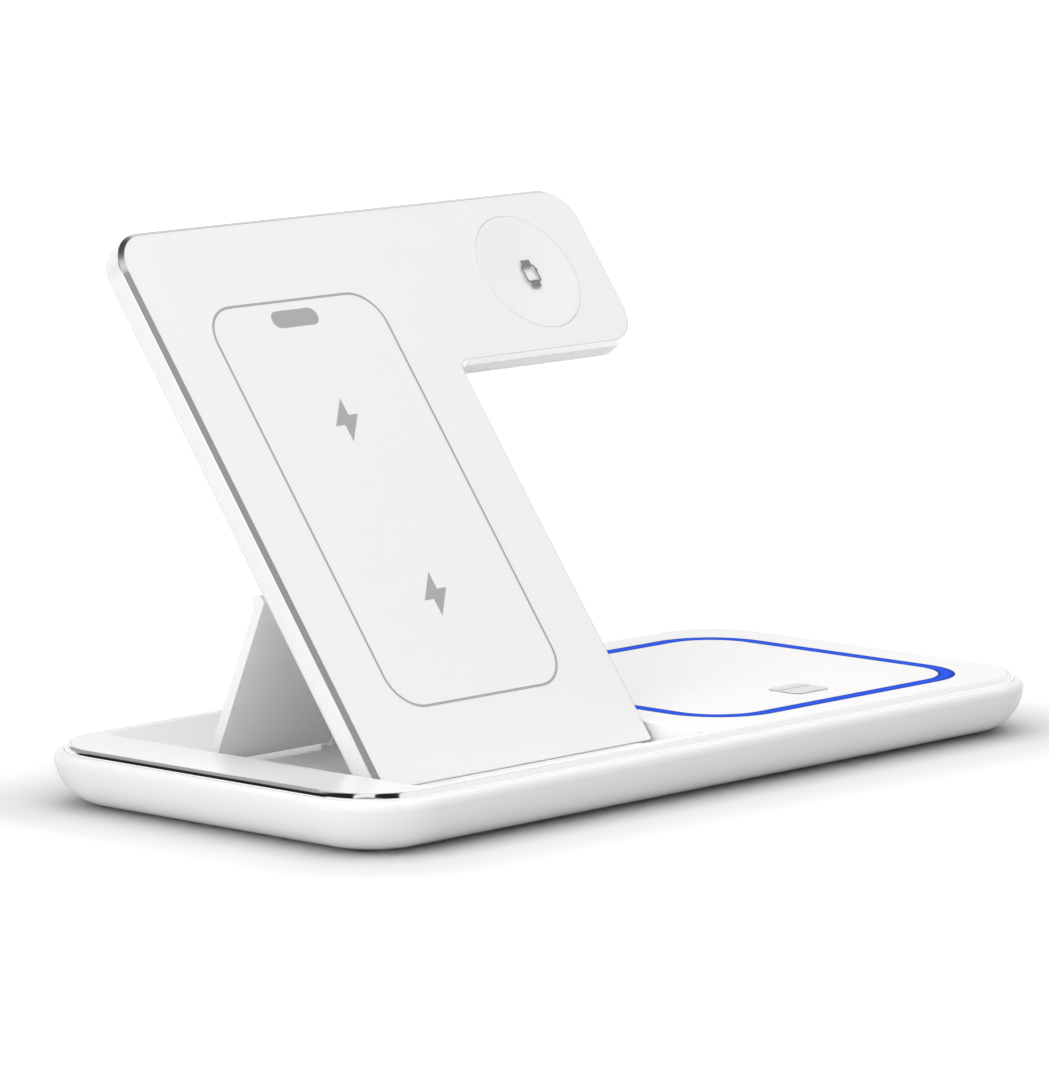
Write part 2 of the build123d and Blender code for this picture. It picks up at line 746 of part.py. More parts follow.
# Panel board on the inside of the back, with two chips on its front
with BuildPart() as panel_circuit_board:
    with BuildSketch(panel_plane.offset(-rear_inside)):
        with Locations((stem_centre, panel_board_u)):
            Rectangle(panel_board_length, panel_board_width)
    extrude(amount=panel_board_thickness)
panel_circuit_board.part.label = "panel_circuit_board"
export_step(panel_circuit_board.part, "parts/panel_circuit_board.step")

with BuildPart() as panel_board_parts:
    with BuildSketch(panel_plane.offset(panel_board_thickness - rear_inside)):
        with Locations((stem_centre, panel_board_u)):
            with GridLocations(panel_chip_pitch, panel_chip_pitch, 2, 1):
                Rectangle(panel_chip_size, panel_chip_size)
    extrude(amount=panel_chip_height)
panel_board_parts.part.label = "panel_board_parts"
export_step(panel_board_parts.part, "parts/panel_board_parts.step")
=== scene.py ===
import json
from math import asin, radians

import bpy
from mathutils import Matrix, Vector


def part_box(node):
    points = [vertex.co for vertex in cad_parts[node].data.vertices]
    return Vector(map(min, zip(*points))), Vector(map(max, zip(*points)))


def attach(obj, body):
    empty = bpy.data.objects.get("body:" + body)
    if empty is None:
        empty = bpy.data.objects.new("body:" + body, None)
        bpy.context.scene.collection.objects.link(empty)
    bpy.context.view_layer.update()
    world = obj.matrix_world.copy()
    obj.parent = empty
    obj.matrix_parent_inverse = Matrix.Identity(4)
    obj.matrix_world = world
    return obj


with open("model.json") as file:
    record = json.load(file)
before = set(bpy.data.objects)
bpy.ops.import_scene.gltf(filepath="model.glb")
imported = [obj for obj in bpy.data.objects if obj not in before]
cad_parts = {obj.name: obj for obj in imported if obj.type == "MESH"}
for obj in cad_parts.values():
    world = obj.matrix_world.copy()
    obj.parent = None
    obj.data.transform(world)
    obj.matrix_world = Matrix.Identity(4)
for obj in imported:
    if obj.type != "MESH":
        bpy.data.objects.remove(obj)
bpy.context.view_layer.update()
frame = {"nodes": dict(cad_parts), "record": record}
bpy.ops.object.select_all(action="DESELECT")

# Lower housing of the base: a shallow boat-shaped tray that stands on the table.
# Injection-moulded white ABS from a polished mould; four screws from below pull
# the top plate into its rim.
mm = 0.001


def linear(hex_colour):
    """An sRGB hex colour as linear red, green, blue and alpha."""
    levels = [int(hex_colour[i:i + 2], 16) / 255 for i in (1, 3, 5)]
    return [v / 12.92 if v <= 0.04045 else ((v + 0.055) / 1.055) ** 2.4 for v in levels] + [1.0]


def add_node(tree, kind, inputs=None, **settings):
    """Adds one shader node, sets its options, and fills or links its inputs."""
    node = tree.nodes.new(kind)
    for name, value in settings.items():
        setattr(node, name, value)
    for name, value in (inputs or {}).items():
        if isinstance(value, bpy.types.NodeSocket):
            tree.links.new(value, node.inputs[name])
        else:
            node.inputs[name].default_value = value
    return node


def start_finish(name):
    """A new surface finish: the material, its node tree and its shader."""
    finish = bpy.data.materials.new(name)
    finish.use_nodes = True
    return finish, finish.node_tree, finish.node_tree.nodes["Principled BSDF"]


def dress(finish, *names):
    """Puts a finish on CAD nodes."""
    for name in names:
        mesh = frame["nodes"][name].data
        mesh.materials.clear()
        mesh.materials.append(finish)


# Gloss ABS: the polished mould gives clear soft reflections, broken a little by the
# faint orange peel of the moulding and by a hint of tone from its flow.
gloss_abs, tree, shader = start_finish("white gloss ABS")
coords = add_node(tree, "ShaderNodeTexCoord")
flow = add_node(tree, "ShaderNodeTexNoise",
    {"Vector": coords.outputs["Object"], "Scale": 1 / (40 * mm), "Detail": 1.0})
tone = add_node(tree, "ShaderNodeValToRGB", {"Fac": flow.outputs["Fac"]})
tone.color_ramp.elements[0].color = linear("#F3F3F2")
tone.color_ramp.elements[1].color = linear("#F8F8F7")
peel = add_node(tree, "ShaderNodeTexNoise",
    {"Vector": coords.outputs["Object"], "Scale": 1 / (1.8 * mm), "Detail": 2.0})
sheen = add_node(tree, "ShaderNodeMapRange",
    {"Value": peel.outputs["Fac"], "To Min": 0.16, "To Max": 0.22})
ripple = add_node(tree, "ShaderNodeBump", {"Height": peel.outputs["Fac"], "Strength": 0.3,
    "Distance": 0.01 * mm})
shader.inputs["IOR"].default_value = 1.53
tree.links.new(tone.outputs["Color"], shader.inputs["Base Color"])
tree.links.new(sheen.outputs["Result"], shader.inputs["Roughness"])
tree.links.new(ripple.outputs["Normal"], shader.inputs["Normal"])
dress(gloss_abs, "base_bottom_shell")

# Boards inside the base: the main board on its posts and the light strip under the ring.
# Glass-fibre laminate with green solder mask, cut from a sheet; the weave shows faintly
# through the mask.
board, tree, shader = start_finish("green FR4 board")
coords = add_node(tree, "ShaderNodeTexCoord")
weave = add_node(tree, "ShaderNodeTexChecker",
    {"Vector": coords.outputs["Object"], "Scale": 1 / (0.6 * mm),
                                               "Color1": linear("#1C6B3A"), "Color2": linear("#175C31")})
shader.inputs["Roughness"].default_value = 0.35
tree.links.new(weave.outputs["Color"], shader.inputs["Base Color"])
dress(board, "base_circuit_board", "light_strip", "panel_circuit_board")

# Choke, capacitors and chips on the boards: epoxy-moulded packages, soldered down.
# Black epoxy filled with glass, dull, with a fine grain.
epoxy, tree, shader = start_finish("black epoxy moulding")
coords = add_node(tree, "ShaderNodeTexCoord")
grain = add_node(tree, "ShaderNodeTexNoise",
    {"Vector": coords.outputs["Object"], "Scale": 1 / (0.25 * mm)})
matt = add_node(tree, "ShaderNodeMapRange", {"Value": grain.outputs["Fac"], "To Min": 0.5, "To Max": 0.7})
shader.inputs["Base Color"].default_value = linear("#26262A")
tree.links.new(matt.outputs["Result"], shader.inputs["Roughness"])
dress(epoxy, "base_board_parts", "panel_board_parts")

# Light chips on the strip: small packages with a cloudy yellow lens, one in each window.
# Silicone with phosphor, dull yellow when unlit; reflow-soldered.
lens, tree, shader = start_finish("phosphor silicone lens")
coords = add_node(tree, "ShaderNodeTexCoord")
cloud = add_node(tree, "ShaderNodeTexNoise",
    {"Vector": coords.outputs["Object"], "Scale": 1 / (0.4 * mm)})
tint = add_node(tree, "ShaderNodeValToRGB", {"Fac": cloud.outputs["Fac"]})
tint.color_ramp.elements[0].color = linear("#D9D08A")
tint.color_ramp.elements[1].color = linear("#EFE7AE")
shader.inputs["Roughness"].default_value = 0.3
tree.links.new(tint.outputs["Color"], shader.inputs["Base Color"])
dress(lens, "light_emitters")

# Charging coils: flat spirals of enamelled wire, wound and bonded, glued under the plate
# and behind the faces. Enamelled copper: the turns show as fine bright rings.
def wound_copper(coil):
    low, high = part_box(coil)
    centre = (low + high) / 2
    finish, tree, shader = start_finish("enamelled copper wire, " + coil)
    coords = add_node(tree, "ShaderNodeTexCoord")
    centred = add_node(tree, "ShaderNodeMapping",
        {"Vector": coords.outputs["Object"], "Location": -centre})
    turns = add_node(tree, "ShaderNodeTexWave",
        {"Vector": centred.outputs["Vector"], "Scale": 0.314 / (0.8 * mm)},
                     wave_type="RINGS", rings_direction="SPHERICAL")
    tint = add_node(tree, "ShaderNodeValToRGB", {"Fac": turns.outputs["Fac"]})
    tint.color_ramp.elements[0].color = linear("#6E3413")
    tint.color_ramp.elements[1].color = linear("#C9793F")
    wire = add_node(tree, "ShaderNodeBump",
        {"Height": turns.outputs["Fac"], "Strength": 0.6, "Distance": 0.15 * mm})
    shader.inputs["Metallic"].default_value = 1.0
    shader.inputs["Roughness"].default_value = 0.32
    tree.links.new(tint.outputs["Color"], shader.inputs["Base Color"])
    tree.links.new(wire.outputs["Normal"], shader.inputs["Normal"])
    dress(finish, coil)


for coil in ("earbud_coil", "upper_phone_coil", "lower_phone_coil", "watch_coil"):
    wound_copper(coil)

# Shields behind the coils: pressed ferrite sheets, stuck to the coils.
# Sintered ferrite: near black, dull, with a fine mineral speckle.
ferrite, tree, shader = start_finish("sintered ferrite")
coords = add_node(tree, "ShaderNodeTexCoord")
speckle = add_node(tree, "ShaderNodeTexNoise",
    {"Vector": coords.outputs["Object"], "Scale": 1 / (0.3 * mm), "Detail": 4.0})
tint = add_node(tree, "ShaderNodeValToRGB", {"Fac": speckle.outputs["Fac"]})
tint.color_ramp.elements[0].color = linear("#2A2A2C")
tint.color_ramp.elements[1].color = linear("#414144")
shader.inputs["Roughness"].default_value = 0.6
tree.links.new(tint.outputs["Color"], shader.inputs["Base Color"])
dress(ferrite, "earbud_ferrite", "phone_ferrite", "watch_ferrite")

# Power inlet at the back of the base: a seamless drawn shell round a flat contact tongue.
# Nickel-plated steel, soldered to the main board; drawing leaves fine lines along its depth.
nickel, tree, shader = start_finish("drawn nickel-plated steel")
coords = add_node(tree, "ShaderNodeTexCoord")
along = add_node(tree, "ShaderNodeMapping",
    {"Vector": coords.outputs["Object"], "Scale": (1.0, 0.05, 1.0)})
lines = add_node(tree, "ShaderNodeTexNoise",
    {"Vector": along.outputs["Vector"], "Scale": 1 / (0.25 * mm), "Detail": 3.0})
brush = add_node(tree, "ShaderNodeMapRange",
    {"Value": lines.outputs["Fac"], "To Min": 0.2, "To Max": 0.38})
shader.inputs["Base Color"].default_value = linear("#BDBCB8")
shader.inputs["Metallic"].default_value = 1.0
tree.links.new(brush.outputs["Result"], shader.inputs["Roughness"])
dress(nickel, "power_socket", "base_screws", "leg_hinge_pin", "panel_hinge_pin", "watch_magnet")

# Top plate of the base: one moulding with the recess for the leg and the panel's foot, which
# runs out in a ramp at its front and back.
# The same white ABS as the housing; it drops into the rim and is held from below.
dress(gloss_abs, "base_top_cover")

# Case pictogram on the top plate, inside the ring: it marks where the earbud case lies.
# Pale grey pad-printed ink, one thin film, with the lid's seam left bare.
case_width, case_depth, case_corner = 9.6 * mm, 8.2 * mm, 1.6 * mm
case_x, case_y = 45.5 * mm, -21.6 * mm
seam_y, seam_width = 1.1 * mm, 0.3 * mm
film = 0.03 * mm
top_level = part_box("base_top_cover")[1].z
bpy.ops.mesh.primitive_plane_add(size=1.0)
case_print = bpy.context.object
case_print.name = "earbud_case_print"
case_print.scale = (case_width, case_depth, 1.0)
bpy.ops.object.transform_apply(location=False, rotation=False, scale=True)
bpy.ops.object.mode_set(mode="EDIT")
bpy.ops.mesh.select_all(action="SELECT")
bpy.ops.mesh.bevel(offset=case_corner, segments=8, affect="VERTICES")
for edge in (seam_y - seam_width / 2, seam_y + seam_width / 2):
    bpy.ops.mesh.select_all(action="SELECT")
    bpy.ops.mesh.bisect(plane_co=(0, edge, 0), plane_no=(0, 1, 0))
bpy.ops.object.mode_set(mode="OBJECT")
for face in case_print.data.polygons:
    face.select = abs(face.center.y - seam_y) < seam_width / 2
bpy.ops.object.mode_set(mode="EDIT")
bpy.ops.mesh.select_mode(type="FACE")
bpy.ops.mesh.delete(type="FACE")
bpy.ops.mesh.select_mode(type="VERT")
bpy.ops.object.mode_set(mode="OBJECT")
thick = case_print.modifiers.new("film", "SOLIDIFY")
thick.thickness = film
thick.offset = 1.0
bpy.ops.object.modifier_apply(modifier="film")
case_print.location = (case_x, case_y, top_level)
bpy.ops.object.transform_apply(location=True, rotation=False, scale=False)
pale_ink, tree, shader = start_finish("pale grey pad-printing ink")
coords = add_node(tree, "ShaderNodeTexCoord")
lay = add_node(tree, "ShaderNodeTexNoise",
    {"Vector": coords.outputs["Object"], "Scale": 1 / (0.5 * mm), "Detail": 3.0})
tint = add_node(tree, "ShaderNodeValToRGB", {"Fac": lay.outputs["Fac"]})
tint.color_ramp.elements[0].color = linear("#DEDCDD")
tint.color_ramp.elements[1].color = linear("#E6E4E5")
shader.inputs["Roughness"].default_value = 0.45
tree.links.new(tint.outputs["Color"], shader.inputs["Base Color"])
case_print.data.materials.append(pale_ink)
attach(case_print, "base")

# Trim of the base: a slim rounded ring between the housing's rim and the top plate.
# Chrome-plated ABS, snapped into the gap; mirror-bright, with the faintest polishing haze.
chrome, tree, shader = start_finish("bright chrome plating")
coords = add_node(tree, "ShaderNodeTexCoord")
haze = add_node(tree, "ShaderNodeTexNoise",
    {"Vector": coords.outputs["Object"], "Scale": 1 / (3 * mm), "Detail": 3.0})
polish = add_node(tree, "ShaderNodeMapRange",
    {"Value": haze.outputs["Fac"], "To Min": 0.04, "To Max": 0.1})
shader.inputs["Base Color"].default_value = linear("#F0F0F0")
shader.inputs["Metallic"].default_value = 1.0
tree.links.new(polish.outputs["Result"], shader.inputs["Roughness"])
dress(chrome, "base_trim_ring")

# Light ring round the earbud place: a flush light guide, lit from the chips below.
# Blue-tinted acrylic pressed into its groove: brightest along its middle, deeper blue towards
# both edges, where the tinted walls of the groove take the light.
ring_band, ring_corner = 3.3 * mm, 12.0 * mm
ring_low, ring_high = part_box("light_ring")
ring_middle = (ring_low + ring_high) / 2
ring_straight = (ring_high - ring_low) / 2 - Vector((1, 1, 0)) * (ring_band / 2 + ring_corner)
guide, tree, shader = start_finish("lit blue acrylic light guide")
coords = add_node(tree, "ShaderNodeTexCoord")
centred = add_node(tree, "ShaderNodeMapping",
    {"Vector": coords.outputs["Object"], "Location": -ring_middle})
flat = add_node(tree, "ShaderNodeVectorMath", {0: centred.outputs["Vector"], 1: (1.0, 1.0, 0.0)},
    operation="MULTIPLY")
folded = add_node(tree, "ShaderNodeVectorMath", {0: flat.outputs["Vector"]}, operation="ABSOLUTE")
past = add_node(tree, "ShaderNodeVectorMath",
    {0: folded.outputs["Vector"], 1: (ring_straight.x, ring_straight.y, 0.0)},
                operation="SUBTRACT")
outer = add_node(tree, "ShaderNodeVectorMath", {0: past.outputs["Vector"], 1: (0.0, 0.0, 0.0)},
    operation="MAXIMUM")
radius = add_node(tree, "ShaderNodeVectorMath", {0: outer.outputs["Vector"]}, operation="LENGTH")
offset = add_node(tree, "ShaderNodeMath", {0: radius.outputs["Value"], 1: ring_corner},
    operation="SUBTRACT")
aside = add_node(tree, "ShaderNodeMath", {0: offset.outputs["Value"]}, operation="ABSOLUTE")
glow = add_node(tree, "ShaderNodeMapRange",
    {"Value": aside.outputs["Value"], "From Min": 0.5 * mm, "From Max": 1.6 * mm,
                                             "To Min": 0.95, "To Max": 0.3},
                                             interpolation_type="SMOOTHSTEP")
shader.inputs["Base Color"].default_value = linear("#06164A")
shader.inputs["Roughness"].default_value = 0.6
shader.inputs["Specular IOR Level"].default_value = 0.03
shader.inputs["Emission Color"].default_value = linear("#0A50E6")
tree.links.new(glow.outputs["Result"], shader.inputs["Emission Strength"])
dress(guide, "light_ring")

# Feet under the base: four round pads inside the four screws.
# Die-cut silicone rubber, pale grey, stuck in their sinks; dull, with a fine skin.
rubber, tree, shader = start_finish("pale grey silicone rubber")
coords = add_node(tree, "ShaderNodeTexCoord")
skin = add_node(tree, "ShaderNodeTexNoise",
    {"Vector": coords.outputs["Object"], "Scale": 1 / (0.4 * mm), "Detail": 3.0})
tint = add_node(tree, "ShaderNodeValToRGB", {"Fac": skin.outputs["Fac"]})
tint.color_ramp.elements[0].color = linear("#B9B9B8")
tint.color_ramp.elements[1].color = linear("#C6C6C5")
dimple = add_node(tree, "ShaderNodeBump", {"Height": skin.outputs["Fac"], "Strength": 0.4,
    "Distance": 0.03 * mm})
shader.inputs["Roughness"].default_value = 0.75
tree.links.new(tint.outputs["Color"], shader.inputs["Base Color"])
tree.links.new(dimple.outputs["Normal"], shader.inputs["Normal"])
dress(rubber, "rubber_feet")

# Leg behind the panel: a plate with a hinge barrel at each end, on two steel pins.
# White ABS, satin from a lightly blasted mould, so that it shows soft shade and no mirror.
satin_abs, tree, shader = start_finish("white satin ABS")
coords = add_node(tree, "ShaderNodeTexCoord")
blast = add_node(tree, "ShaderNodeTexNoise",
    {"Vector": coords.outputs["Object"], "Scale": 1 / (0.35 * mm), "Detail": 3.0})
tint = add_node(tree, "ShaderNodeValToRGB", {"Fac": blast.outputs["Fac"]})
tint.color_ramp.elements[0].color = linear("#F8F8F7")
tint.color_ramp.elements[1].color = linear("#FBFBFA")
fleck = add_node(tree, "ShaderNodeBump", {"Height": blast.outputs["Fac"], "Strength": 0.25,
    "Distance": 0.02 * mm})
shader.inputs["Roughness"].default_value = 0.38
shader.inputs["IOR"].default_value = 1.53
tree.links.new(tint.outputs["Color"], shader.inputs["Base Color"])
tree.links.new(fleck.outputs["Normal"], shader.inputs["Normal"])
dress(satin_abs, "support_leg")

# Back of the panel and its side wall: two white mouldings with a fine parting line between.
# Gloss ABS like the base; the back clips into the wall and carries the hinge lugs.
dress(gloss_abs, "panel_rear_cover", "panel_frame")

# Face of the panel: the flat plate that the phone leans on.
# White ABS from a spark-eroded mould: dead flat, matt, with a very fine even grain.
matt_abs, tree, shader = start_finish("white matt ABS")
coords = add_node(tree, "ShaderNodeTexCoord")
spark = add_node(tree, "ShaderNodeTexNoise",
    {"Vector": coords.outputs["Object"], "Scale": 1 / (0.3 * mm), "Detail": 4.0})
tint = add_node(tree, "ShaderNodeValToRGB", {"Fac": spark.outputs["Fac"]})
tint.color_ramp.elements[0].color = linear("#F3F3F3")
tint.color_ramp.elements[1].color = linear("#F7F7F7")
grain = add_node(tree, "ShaderNodeBump", {"Height": spark.outputs["Fac"], "Strength": 0.3,
    "Distance": 0.02 * mm})
shader.inputs["Roughness"].default_value = 0.55
shader.inputs["IOR"].default_value = 1.53
tree.links.new(tint.outputs["Color"], shader.inputs["Base Color"])
tree.links.new(grain.outputs["Normal"], shader.inputs["Normal"])
dress(matt_abs, "panel_front_cover")

# Foot pad: a thin strip under the panel's foot, on which it slides in the recess.
# White silicone rubber, extruded and bonded to the sole; matt, with a fine skin.
pad_inset, pad_width, pad_height, pad_round = 0.8 * mm, 3.0 * mm, 0.24 * mm, 0.1 * mm
foot_left, foot_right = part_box("panel_front_cover")[0].x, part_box("support_leg")[1].x
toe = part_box("panel_front_cover")[0]
bpy.ops.object.select_all(action="DESELECT")
bpy.ops.mesh.primitive_cube_add(size=1.0)
foot_pad = bpy.context.object
foot_pad.name = "panel_foot_pad"
foot_pad.scale = (foot_right - foot_left - 2 * pad_inset, pad_width, pad_height)
foot_pad.location = ((foot_left + foot_right) / 2, toe.y + 0.1 * mm + pad_width / 2,
    toe.z - pad_height / 2)
bpy.ops.object.transform_apply(location=True, rotation=False, scale=True)
soft = foot_pad.modifiers.new("soft edges", "BEVEL")
soft.width = pad_round
soft.segments = 3
bpy.ops.object.modifier_apply(modifier="soft edges")
white_silicone, tree, shader = start_finish("white silicone rubber")
coords = add_node(tree, "ShaderNodeTexCoord")
skin = add_node(tree, "ShaderNodeTexNoise",
    {"Vector": coords.outputs["Object"], "Scale": 1 / (0.4 * mm), "Detail": 3.0})
dull = add_node(tree, "ShaderNodeMapRange", {"Value": skin.outputs["Fac"], "To Min": 0.6, "To Max": 0.75})
shader.inputs["Base Color"].default_value = linear("#F6F6F5")
tree.links.new(dull.outputs["Result"], shader.inputs["Roughness"])
foot_pad.data.materials.append(white_silicone)
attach(foot_pad, "panel")

# Phone outline on the face: a hairline round the phone's place, with its camera slot filled.
# Grey screen-printed ink in one thin film.
mounts = {mount["name"]: mount for mount in frame["record"]["mounts"]}
face_normal = Vector(mounts["phone_face"]["axis"])
face_tilt = radians(90.0) - asin(face_normal.z)
plate_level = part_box("base_top_cover")[1].z
face_point = Vector(mounts["phone_face"]["pos_m"])
face_foot = face_point.y - (face_point.z - plate_level) * face_normal.z / -face_normal.y
line_width, line_height, line_corner, line_band = 45.2 * mm, 84.9 * mm, 7.3 * mm, 0.5 * mm
line_x, line_u = -37.9 * mm, 53.05 * mm


def lay_on_face(piece, x, u):
    """Gives a flat print its film and sets it on the tilted face, x across and u up from the base."""
    thick = piece.modifiers.new("film", "SOLIDIFY")
    thick.thickness = film
    thick.offset = 1.0
    bpy.ops.object.modifier_apply(modifier="film")
    piece.rotation_euler = (face_tilt, 0.0, 0.0)
    up = Vector((0.0, face_normal.z, -face_normal.y))
    piece.location = Vector((x, face_foot, plate_level)) + u * up
    bpy.ops.object.transform_apply(location=True, rotation=True, scale=True)
    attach(piece, "panel")


bpy.ops.object.select_all(action="DESELECT")
bpy.ops.mesh.primitive_plane_add(size=1.0)
phone_line = bpy.context.object
phone_line.name = "phone_outline_print"
phone_line.scale = (line_width, line_height, 1.0)
bpy.ops.object.transform_apply(location=False, rotation=False, scale=True)
bpy.ops.object.mode_set(mode="EDIT")
bpy.ops.mesh.select_all(action="SELECT")
bpy.ops.mesh.bevel(offset=line_corner, segments=12, affect="VERTICES")
bpy.ops.mesh.select_all(action="SELECT")
bpy.ops.mesh.inset(thickness=line_band)
bpy.ops.mesh.delete(type="FACE")
bpy.ops.object.mode_set(mode="OBJECT")
lay_on_face(phone_line, line_x, line_u)
grey_ink, tree, shader = start_finish("grey screen-printing ink")
coords = add_node(tree, "ShaderNodeTexCoord")
lay = add_node(tree, "ShaderNodeTexNoise",
    {"Vector": coords.outputs["Object"], "Scale": 1 / (0.4 * mm), "Detail": 3.0})
tint = add_node(tree, "ShaderNodeValToRGB", {"Fac": lay.outputs["Fac"]})
tint.color_ramp.elements[0].color = linear("#A6A6A6")
tint.color_ramp.elements[1].color = linear("#B0B0B0")
shader.inputs["Roughness"].default_value = 0.5
tree.links.new(tint.outputs["Color"], shader.inputs["Base Color"])
phone_line.data.materials.append(grey_ink)

slot_width, slot_height = 11.9 * mm, 3.6 * mm
slot_x, slot_u = -38.2 * mm, 91.5 * mm
bpy.ops.object.select_all(action="DESELECT")
bpy.ops.mesh.primitive_plane_add(size=1.0)
camera_slot = bpy.context.object
camera_slot.name = "camera_slot_print"
camera_slot.scale = (slot_width, slot_height, 1.0)
bpy.ops.object.transform_apply(location=False, rotation=False, scale=True)
bpy.ops.object.mode_set(mode="EDIT")
bpy.ops.mesh.select_all(action="SELECT")
bpy.ops.mesh.bevel(offset=slot_height * 0.499, segments=10, affect="VERTICES")
bpy.ops.object.mode_set(mode="OBJECT")
lay_on_face(camera_slot, slot_x, slot_u)
camera_slot.data.materials.append(grey_ink)

# Charge pictograms on the face: one bolt over each phone coil.
# The same grey ink; each bolt is one six-cornered field.
bolt_corners = [(0.95, 4.5), (-3.43, -0.96), (-1.0, -0.96), (-0.95, -4.5), (3.43, 0.96), (1.0, 0.96)]
for bolt_name, bolt_x, bolt_u in (("upper_bolt_print", -38.0 * mm, 69.4 * mm),
    ("lower_bolt_print", -37.7 * mm, 32.2 * mm)):
    bpy.ops.object.select_all(action="DESELECT")
    bpy.ops.mesh.primitive_circle_add(vertices=6, radius=3 * mm, fill_type="NGON")
    bolt = bpy.context.object
    bolt.name = bolt_name
    for corner, (x, u) in zip(bolt.data.vertices, bolt_corners):
        corner.co = (x * mm, u * mm, 0.0)
    lay_on_face(bolt, bolt_x, bolt_u)
    bolt.data.materials.append(grey_ink)

# Trim of the panel: a slim bevelled ring round the face, open at the foot.
# Anodised aluminium, diamond-cut on the bevel: grey, satin, with fine lines along it.
anodised, tree, shader = start_finish("grey anodised aluminium")
coords = add_node(tree, "ShaderNodeTexCoord")
cut = add_node(tree, "ShaderNodeTexNoise",
    {"Vector": coords.outputs["Object"], "Scale": 1 / (0.2 * mm), "Detail": 3.0})
satin = add_node(tree, "ShaderNodeMapRange", {"Value": cut.outputs["Fac"], "To Min": 0.15, "To Max": 0.2})
shader.inputs["Base Color"].default_value = linear("#DCDCDE")
shader.inputs["Metallic"].default_value = 1.0
tree.links.new(satin.outputs["Result"], shader.inputs["Roughness"])
dress(anodised, "panel_trim_ring")

# Watch disc in the arm: a shallow dish that centres the watch on its coil.
# Matt white ABS like the face, held behind it by a flange.
dress(matt_abs, "watch_disc")

# Watch pictogram in the dish: a rounded case in outline, two strap ends and a crown.
# Darker grey ink in one thin film.
watch_width, watch_height, watch_corner, watch_band = 3.9 * mm, 3.75 * mm, 0.6 * mm, 0.4 * mm
strap_half, strap_rise = 1.2 * mm, 1.1 * mm
watch_low, watch_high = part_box("watch_disc")
watch_x = (watch_low.x + watch_high.x) / 2 + 0.45 * mm
bpy.ops.object.select_all(action="DESELECT")
bpy.ops.mesh.primitive_plane_add(size=1.0)
watch_print = bpy.context.object
watch_print.name = "watch_print"
watch_print.scale = (watch_width, watch_height, 1.0)
bpy.ops.object.transform_apply(location=False, rotation=False, scale=True)
bpy.ops.object.mode_set(mode="EDIT")
bpy.ops.mesh.select_all(action="SELECT")
bpy.ops.mesh.bevel(offset=watch_corner, segments=6, affect="VERTICES")
bpy.ops.mesh.select_all(action="SELECT")
bpy.ops.mesh.inset(thickness=watch_band)
bpy.ops.mesh.delete(type="FACE")
bpy.ops.object.mode_set(mode="OBJECT")
strap_parts = []
for side in (1, -1):
    bpy.ops.mesh.primitive_plane_add(size=1.0)
    strap = bpy.context.object
    foot, end = side * (watch_height / 2 - 0.02 * mm), side * (watch_height / 2 + strap_rise)
    corners = [(-strap_half, foot), (strap_half, foot), (-strap_half, end), (strap_half, end)]
    for corner, (x, u) in zip(strap.data.vertices, corners):
        corner.co = (x, u, 0.0)
    strap_parts.append(strap)
bpy.ops.mesh.primitive_plane_add(size=1.0)
crown = bpy.context.object
for corner, (x, u) in zip(crown.data.vertices, [(1.93, 0.45), (2.17, 0.45), (1.93, 1.05), (2.17, 1.05)]):
    corner.co = (x * mm, u * mm, 0.0)
bpy.ops.object.select_all(action="DESELECT")
for part in [crown] + strap_parts + [watch_print]:
    part.select_set(True)
bpy.context.view_layer.objects.active = watch_print
bpy.ops.object.join()
bpy.ops.object.mode_set(mode="EDIT")
bpy.ops.mesh.select_all(action="SELECT")
bpy.ops.mesh.normals_make_consistent(inside=False)
bpy.ops.object.mode_set(mode="OBJECT")
lay_on_face(watch_print, watch_x, 94.83 * mm)
dark_ink, tree, shader = start_finish("dark grey screen-printing ink")
coords = add_node(tree, "ShaderNodeTexCoord")
lay = add_node(tree, "ShaderNodeTexNoise",
    {"Vector": coords.outputs["Object"], "Scale": 1 / (0.3 * mm), "Detail": 3.0})
tint = add_node(tree, "ShaderNodeValToRGB", {"Fac": lay.outputs["Fac"]})
tint.color_ramp.elements[0].color = linear("#767676")
tint.color_ramp.elements[1].color = linear("#828282")
shader.inputs["Roughness"].default_value = 0.5
tree.links.new(tint.outputs["Color"], shader.inputs["Base Color"])
watch_print.data.materials.append(dark_ink)

# Stage: a plain table top, far larger than the view.
# Pale matt paint that keeps the object's soft shadow. Painted light is added on it for the camera and
# for reflections: none near the base, then rising to white away from the object.
bpy.ops.object.select_all(action="DESELECT")
bpy.ops.mesh.primitive_plane_add(size=14.0)
table_top = bpy.context.object
table_top.name = "table_top"
paint, tree, shader = start_finish("pale matt paint and painted glow")
coords = add_node(tree, "ShaderNodeTexCoord")
# Painted light, seen only by the camera and in reflections: none within shade_start of the base, rising
# to near_glow by shade_end, then to white by white_end.
foot_corner, shade_start, shade_end = 15 * mm, 10 * mm, 45 * mm
white_start, white_end, near_glow = 30 * mm, 400 * mm, 0.35
foot_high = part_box("base_bottom_shell")[1]
folded = add_node(tree, "ShaderNodeVectorMath", {0: coords.outputs["Object"]}, operation="ABSOLUTE")
past = add_node(tree, "ShaderNodeVectorMath",
    {0: folded.outputs["Vector"], 1: (foot_high.x - foot_corner, foot_high.y - foot_corner, 0.0)},
                operation="SUBTRACT")
outer = add_node(tree, "ShaderNodeVectorMath", {0: past.outputs["Vector"], 1: (0.0, 0.0, 0.0)},
    operation="MAXIMUM")
away = add_node(tree, "ShaderNodeVectorMath", {0: outer.outputs["Vector"]}, operation="LENGTH")
near = add_node(tree, "ShaderNodeMapRange",
    {"Value": away.outputs["Value"], "From Min": shade_start, "From Max": shade_end,
                                             "To Min": 0.0, "To Max": near_glow},
                                             interpolation_type="SMOOTHSTEP")
